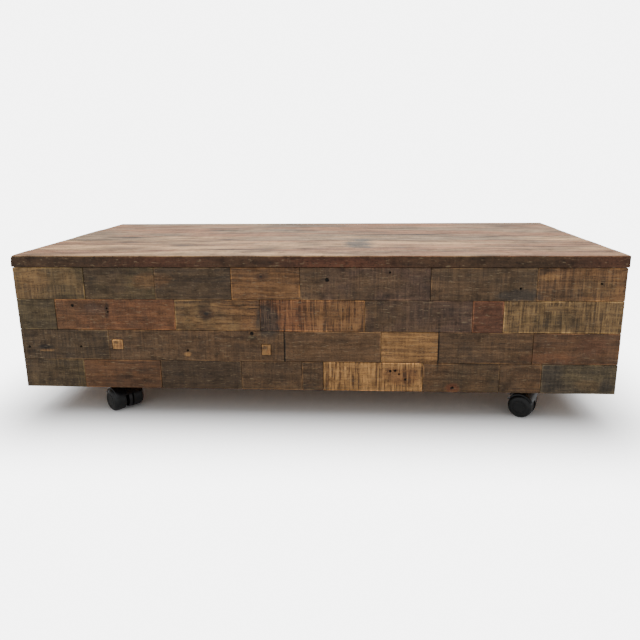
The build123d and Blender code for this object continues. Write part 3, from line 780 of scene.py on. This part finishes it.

# ------------------------------------------------------------------------------
# Lid: five old floor planks, bleached and polished by use on top, dark at their edges, and screwed to the
# battens. Their tops are also painted lighter, as if lit from above with a sheen, and their edges darker, as
# if in shade. Their ends are not quite in line, and the front left corner is worn round.
# ------------------------------------------------------------------------------

# The tops' tones below are lighter than the wood's own colour: partly bleaching, partly painted light and
# sheen from above.
tones.update({
    "bleached_and_lit": tint(172, 141, 114),
    "driftwood": tint(140, 119, 103),
    "rose": tint(146, 108, 86),
    "toast": tint(110, 78, 56),
    "edge": tint(66, 49, 36),
    "edge_red": tint(82, 52, 40),
    "slate": tint(78, 80, 84),
})
plank_tones = [("bleached_and_lit", "rose"), ("rose", "bleached_and_lit"), ("bleached_and_lit", "driftwood"), ("driftwood", "rose"),
               ("rose", "driftwood")]
# Old water, ink and rust stains on top: their middles along and across the lid, then their half lengths, in
# millimetres, then the tone and its strength.
lid_stains = [
    (122, -215, 34, 24, "slate", 0.75), (118, -155, 42, 44, "slate", 0.80), (124, -90, 34, 24, "slate", 0.7),
    (-124, 156, 70, 16, "slate", 0.60), (-60, 268, 170, 20, "slate", 0.65), (-390, -92, 38, 5, "red", 0.90),
    (-600, -165, 45, 10, "toast", 0.85), (-512, -168, 36, 7, "toast", 0.60), (-330, -60, 90, 12, "rose", 0.6),
    (420, -250, 120, 12, "toast", 0.45), (520, 60, 140, 18, "toast", 0.50),
    (-250, 60, 150, 14, "toast", 0.45),
    (180, 200, 130, 16, "toast", 0.45), (-520, 250, 90, 20, "toast", 0.55), (620, -120, 60, 14, "slate", 0.4),
]
corner_wear = 9 * MM  # added to the arris radius at the lid's front left corner
corner_wear_reach = 14 * MM
plank_wear = 1.5 * MM
plank_hollow = 0.9 * MM
plank_step = 7 * MM
plank_seeds = 3000
plank_open_grain = 0.45
no_knot = (0.0, -9.0, 0.0)


def plank_part(number, low, high):
    """A plank with a bleached top, darker edges and stains. The top is partly painted light and sheen, the
    edges partly painted shade.
    """
    seed = plank_seeds + number
    front_left = (low[0], low[1], high[2])
    worn = (front_left, corner_wear, corner_wear_reach) if number == 0 else None
    points, shaped, quads = weathered_piece(low, high, (2, 1), plank_wear, seed, hollow=plank_hollow,
                                            worn=worn, step=plank_step)
    grain = (shaped - low) + np.random.default_rng(seed).uniform(0, grain_spread, 3)
    first, second = (np.array(tones[name]) for name in plank_tones[number])
    broad = value_noise(points, (0.28, 0.045, 0.05), seed + 9)
    narrow = value_noise(points, (0.11, 0.016, 0.05), seed + 8)
    share = np.clip((broad * 0.6 + narrow * 0.4 - 0.5) * 4.6 + 0.5, 0, 1)[:, None]
    long_streak = value_noise(points, (0.15, 0.014, 0.05), seed + 7)
    short_streak = value_noise(points, (0.06, 0.03, 0.05), seed + 6)
    flecks = np.clip(value_noise(points, (0.045, 0.010, 0.05), seed + 5) * 5 - 3.6, 0, 1)
    shade = 1.42 - 1.6 * (long_streak * short_streak) - 0.35 * flecks
    top = (first * (1 - share) + second * share) * shade[:, None]
    top = add_stains(top, points, lid_stains, (0, 1), seed)
    redness = np.clip(value_noise(points, (0.22, 0.2, 0.2), seed + 12) * 2.2 - 0.9, 0, 1)[:, None]
    side = np.array(tones["edge"]) * (1 - redness) + np.array(tones["edge_red"]) * redness
    under = np.clip((high[2] - shaped[:, 2] - 1.2 * MM) / (1.4 * MM), 0, 1)[:, None]
    seam = np.clip(1.3 - arris_distance(points, low, high) / (2.2 * MM), 0, 1)[:, None] * (1 - under)
    seam_shade = 0.55 if number > 0 else 0.0
    # Painted light and shade, besides real bleaching: the top takes the lighter top tones, the sides below it
    # the darker edge tones.
    colour = top * (1 - seam_shade * seam) * (1 - under) + side * under
    colour[:, 3] = 1.0
    count = len(points)
    return {"points": shaped, "quads": quads, "tone": colour, "grain": grain,
            "marks": np.tile([least_sawn, plank_open_grain, 0.0], (count, 1)),
            "knot": np.tile(no_knot, (count, 1))}


plank_wood = old_wood_material("plank_wood", gloss=0.10, shine=0.32)
for number in range(5):
    node = f"lid_plank_{number + 1}"
    low, high = (np.array(corner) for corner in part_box(node))
    body = frame["nodes"][node]["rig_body"]
    build_piece(f"plank_{number + 1}", [plank_part(number, low, high)], plank_wood, body, [node])

# ------------------------------------------------------------------------------
# Ironwork: butt hinges, folding stays and caster plates of steel, painted black and rubbed brown in patches.
# The hinge pins and the wheels' axles are zinc-plated.
# ------------------------------------------------------------------------------


def metal_material(name, colour, worn, roughness, metallic):
    """Painted or plated steel, a little uneven, rubbed to another colour in patches."""
    material, tree, shader = new_material(name, roughness, metallic=metallic)
    at = object_place(tree)
    cloud = noise(tree, stretched(tree, at, 0.012, 0.012, 0.012), 5.0, 0.6)
    fine = noise(tree, stretched(tree, at, 0.0012, 0.0012, 0.0012), 2.0)
    patchy = mix(tree, remap(tree, cloud, 0.55, 0.8, 0.0, 0.8), colour, worn)
    tree.links.new(patchy, shader.inputs["Base Color"])
    rough = remap(tree, cloud, 0.2, 0.8, roughness - 0.12, roughness + 0.14)
    tree.links.new(rough, shader.inputs["Roughness"])
    bump(tree, shader, fine, 0.0001, 0.5)
    return material


black_steel = metal_material("black_steel", tint(34, 34, 36), tint(66, 58, 52), 0.45, 0.3)
zinc_steel = metal_material("zinc_steel", tint(150, 150, 148), tint(110, 104, 96), 0.35, 1.0)
for node in frame["nodes"]:
    if "leaf" in node or "arm" in node or "bracket" in node or node == "caster_plates":
        finish(node, black_steel)
    if "axle" in node or node == "hinge_pins":
        finish(node, zinc_steel)

# ------------------------------------------------------------------------------
# Screws: zinc-plated, with domed heads and cross recesses. Stout ones hold the battens and the caster
# plates, and small ones sit flush in the hinge leaves and the stay brackets. No two are turned home to the
# same angle.
# ------------------------------------------------------------------------------


def screw_head_tree():
    """Stands a domed, cross-recessed head on each point, as big as the point says, turned at random."""
    sockets = {"Geometry": "Geometry", "Recess Width": "Float", "Recess Length": "Float", "Seed": "Int",
               "Material": "Material"}
    tree, given, result = node_tree("screw_heads", "GeometryNodeTree", sockets, {"Geometry": "Geometry"})
    dome = put(tree, "GeometryNodeMeshUVSphere", {"Segments": 24, "Rings": 12, "Radius": 1.0}).outputs[0]
    recess = put(tree, "GeometryNodeMeshBoolean", {0: dome}, operation="DIFFERENCE")
    for long_side, short_side in (("X", "Y"), ("Y", "X")):
        sides = {long_side: given["Recess Length"], short_side: given["Recess Width"], "Z": 1.2}
        size = put(tree, "ShaderNodeCombineXYZ", sides).outputs[0]
        bar = put(tree, "GeometryNodeMeshCube", {"Size": size}).outputs[0]
        lift = {"Geometry": bar, "Translation": (0.0, 0.0, 1.05)}
        tree.links.new(put(tree, "GeometryNodeTransform", lift).outputs[0], recess.inputs[1])
    facing, size = (
        put(tree, "GeometryNodeInputNamedAttribute", {"Name": label}, data_type="FLOAT_VECTOR").outputs[0]
        for label in ("facing", "size")
    )
    upright = put(tree, "FunctionNodeAlignRotationToVector", {"Vector": facing}, axis="Z").outputs[0]
    quarter_turn = {2: 0.0, 3: quarter, "Seed": given["Seed"]}
    angle = put(tree, "FunctionNodeRandomValue", quarter_turn, data_type="FLOAT").outputs[1]
    spin = put(tree, "FunctionNodeAxisAngleToRotation", {"Axis": (0.0, 0.0, 1.0), "Angle": angle}).outputs[0]
    turned = put(tree, "FunctionNodeRotateRotation", {0: upright, 1: spin}, rotation_space="LOCAL").outputs[0]
    points = put(tree, "GeometryNodeMeshToPoints", {"Mesh": given["Geometry"]}).outputs[0]
    heads = {"Points": points, "Instance": recess.outputs[0], "Rotation": turned, "Scale": size}
    instances = put(tree, "GeometryNodeInstanceOnPoints", heads).outputs[0]
    real = put(tree, "GeometryNodeRealizeInstances", {"Geometry": instances}).outputs[0]
    plated = {"Geometry": real, "Material": given["Material"]}
    finished = put(tree, "GeometryNodeSetMaterial", plated).outputs[0]
    tree.links.new(finished, result["Geometry"])
    return tree


screw_heads = screw_head_tree()


def screw_row(node, way, radius, rise, depth):
    """Where each of a node's screw heads bears, which way it faces and how big it is, in metres."""
    rows = []
    for low, high in solid_boxes(node):
        axis = int(np.argmax(high - low))
        facing = np.zeros(3)
        facing[axis] = way if axis == 2 else -np.sign(low[0])
        place = (low + high) / 2
        place[axis] = face_level(low, high, axis, facing[axis]) - facing[axis] * depth
        rows.append((place, facing, (radius, radius, rise)))
    return rows


def screws(name, body, nodes, rows, seed):
    """One body's screws, made from their places and left as a plain mesh."""
    places, facings, sizes = (np.array(column) for column in zip(*rows))
    mesh = bpy.data.meshes.new(name + "_places")
    mesh.from_pydata(places.tolist(), [], [])
    for label, values in (("facing", facings), ("size", sizes)):
        mesh.attributes.new(label, "FLOAT_VECTOR", "POINT").data.foreach_set("vector", values.ravel())
    holder = bpy.data.objects.new(name + "_holder", mesh)
    bpy.context.scene.collection.objects.link(holder)
    modifier = holder.modifiers.new("heads", "NODES")
    modifier.node_group = screw_heads
    values = {"Recess Width": 0.20, "Recess Length": 1.05, "Seed": seed, "Material": zinc_steel}
    for item in screw_heads.interface.items_tree:
        if item.in_out == "INPUT" and item.name in values:
            modifier[item.identifier] = values[item.name]
    evaluated = holder.evaluated_get(bpy.context.evaluated_depsgraph_get())
    heads = bpy.data.meshes.new_from_object(evaluated)
    bpy.data.objects.remove(holder)
    add_piece(name, heads, body, nodes)


# Each kind of head: its radius, how far its dome rises, and how deep it sits from the screw's end.
stout_head = (4.2 * MM, 2.4 * MM, 2.4 * MM)
flush_head = (3.2 * MM, 0.9 * MM, 1.0 * MM)
lid_body = frame["nodes"]["lid_plank_1"]["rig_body"]
lid_rows = screw_row("batten_screws", -1, *stout_head) + screw_row("lid_fixing_screws", -1, *flush_head)
screws("lid_screw_heads", lid_body, ["batten_screws", "lid_fixing_screws"], lid_rows, 4)
body_rows = screw_row("caster_screws", -1, *stout_head) + screw_row("body_fixing_screws", 1, *flush_head)
screws("body_screw_heads", "chest_body", ["caster_screws", "body_fixing_screws"], body_rows, 9)

# ------------------------------------------------------------------------------
# Casters: twin-wheel, moulded in black nylon. The hoods are glossier than the wheels, and both are scuffed a
# little greyer in patches.
# ------------------------------------------------------------------------------


def nylon_material(name, colour, roughness, coat):
    """Moulded black nylon."""
    scuffed_grey = tint(20, 21, 23)
    material, tree, shader = new_material(name, roughness, coat)
    at = object_place(tree)
    cloud = noise(tree, stretched(tree, at, 0.02, 0.02, 0.02), 4.0, 0.6)
    fine = noise(tree, stretched(tree, at, 0.0008, 0.0008, 0.0008), 2.0)
    colour = mix(tree, remap(tree, cloud, 0.45, 0.8, 0.0, 0.5), colour, scuffed_grey)
    tree.links.new(colour, shader.inputs["Base Color"])
    rough = remap(tree, cloud, 0.2, 0.8, roughness - 0.08, roughness + 0.12)
    tree.links.new(rough, shader.inputs["Roughness"])
    bump(tree, shader, fine, 0.00012, 0.35)
    return material


hood_nylon = nylon_material("hood_nylon", tint(11, 11, 14), 0.32, 0.1)
wheel_nylon = nylon_material("wheel_nylon", tint(9, 11, 11), 0.42, 0.0)
for node in frame["nodes"]:
    if node.endswith("_hood"):
        finish(node, hood_nylon)
    if "_wheel_" in node:
        finish(node, wheel_nylon)

# ------------------------------------------------------------------------------
# Setting: a pale floor that runs out into a lit backdrop, a large soft light above and behind, a weak one
# from the front left, and the camera.
# ------------------------------------------------------------------------------

floor_half = 40.0
floor_corners = [(x * floor_half, y * floor_half, 0) for x, y in ((-1, -1), (1, -1), (1, 1), (-1, 1))]
floor_mesh = bpy.data.meshes.new("floor")
floor_mesh.from_pydata(floor_corners, [], [(0, 1, 2, 3)])
floor = bpy.data.objects.new("floor", floor_mesh)
bpy.context.scene.collection.objects.link(floor)
floor_material, floor_tree, floor_shader = new_material("floor_paint", 0.9)
pale_grey = (0.85, 0.85, 0.85, 1.0)
floor_shader.inputs["Base Color"].default_value = pale_grey
floor_mesh.materials.append(floor_material)
floor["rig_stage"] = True

# The glow starts outside a rectangle under the chest and is full a little way out. Only the camera sees it.
backdrop_glow = 6.0
floor_shown = {"X": 0.66, "Y": 0.30}
glow_reach = 0.42
floor_at = put(floor_tree, "ShaderNodeSeparateXYZ", {0: object_place(floor_tree)}).outputs
squares = []
for axis, half in floor_shown.items():
    beyond = calc(floor_tree, "SUBTRACT", calc(floor_tree, "ABSOLUTE", floor_at[axis]), half)
    gap = calc(floor_tree, "MAXIMUM", beyond, 0.0)
    squares.append(calc(floor_tree, "MULTIPLY", gap, gap))
away = calc(floor_tree, "SQRT", calc(floor_tree, "ADD", *squares))
camera_sees_floor = put(floor_tree, "ShaderNodeLightPath").outputs["Is Camera Ray"]
fade = calc(floor_tree, "MULTIPLY", remap(floor_tree, away, 0.0, glow_reach), camera_sees_floor)
glow = put(floor_tree, "ShaderNodeEmission", {"Strength": backdrop_glow}).outputs[0]
floor_mix = put(floor_tree, "ShaderNodeMixShader", {0: fade, 1: floor_shader.outputs[0], 2: glow}).outputs[0]
floor_tree.links.new(floor_mix, floor_tree.nodes["Material Output"].inputs["Surface"])

room_light = 0.62
world = bpy.data.worlds.new("studio")
world.use_nodes = True
world_tree = world.node_tree
background = world_tree.nodes["Background"]
background.inputs["Color"].default_value = (1.0, 1.0, 1.0, 1.0)
camera_sees_room = put(world_tree, "ShaderNodeLightPath").outputs["Is Camera Ray"]
strength = calc(world_tree, "MULTIPLY_ADD", camera_sees_room, backdrop_glow - room_light, room_light)
world_tree.links.new(strength, background.inputs["Strength"])
bpy.context.scene.world = world


def softbox(name, place, aim, width, height, power):
    """A large area light that faces a point. Sizes are in metres and the power in watts."""
    data = bpy.data.lights.new(name, "AREA")
    data.shape = "RECTANGLE"
    data.size = width
    data.size_y = height
    data.energy = power
    lamp = bpy.data.objects.new(name, data)
    bpy.context.scene.collection.objects.link(lamp)
    lamp.location = place
    from_aim = [p - a for p, a in zip(place, aim)]
    yaw = math.atan2(from_aim[0], -from_aim[1])
    pitch = math.atan2(math.hypot(from_aim[0], from_aim[1]), from_aim[2])
    lamp.rotation_euler = (pitch, 0.0, yaw)


softbox("top_light", (0.2, 1.6, 3.2), (0.0, 0.1, 0.4), 4.0, 2.4, 150)
softbox("front_light", (-1.6, -3.2, 1.8), (0.0, -0.3, 0.25), 3.0, 2.0, 12)

camera_data = bpy.data.cameras.new("camera")
camera = bpy.data.objects.new("camera", camera_data)
bpy.context.scene.collection.objects.link(camera)
camera.location = (0.1155, -1.7711, 0.661)
look_yaw, look_pitch, look_roll = (math.radians(a) for a in (-3.74, 13.34, -0.61))
level_look = Matrix.Rotation(-look_yaw, 3, "Z") @ Matrix.Rotation(quarter - look_pitch, 3, "X")
camera.rotation_euler = (level_look @ Matrix.Rotation(look_roll, 3, "Z")).to_euler()
camera_data.sensor_width = 36.0
camera_data.lens = 33.0
camera_data.shift_y = -0.0375
bpy.context.scene.camera = camera

low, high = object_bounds()
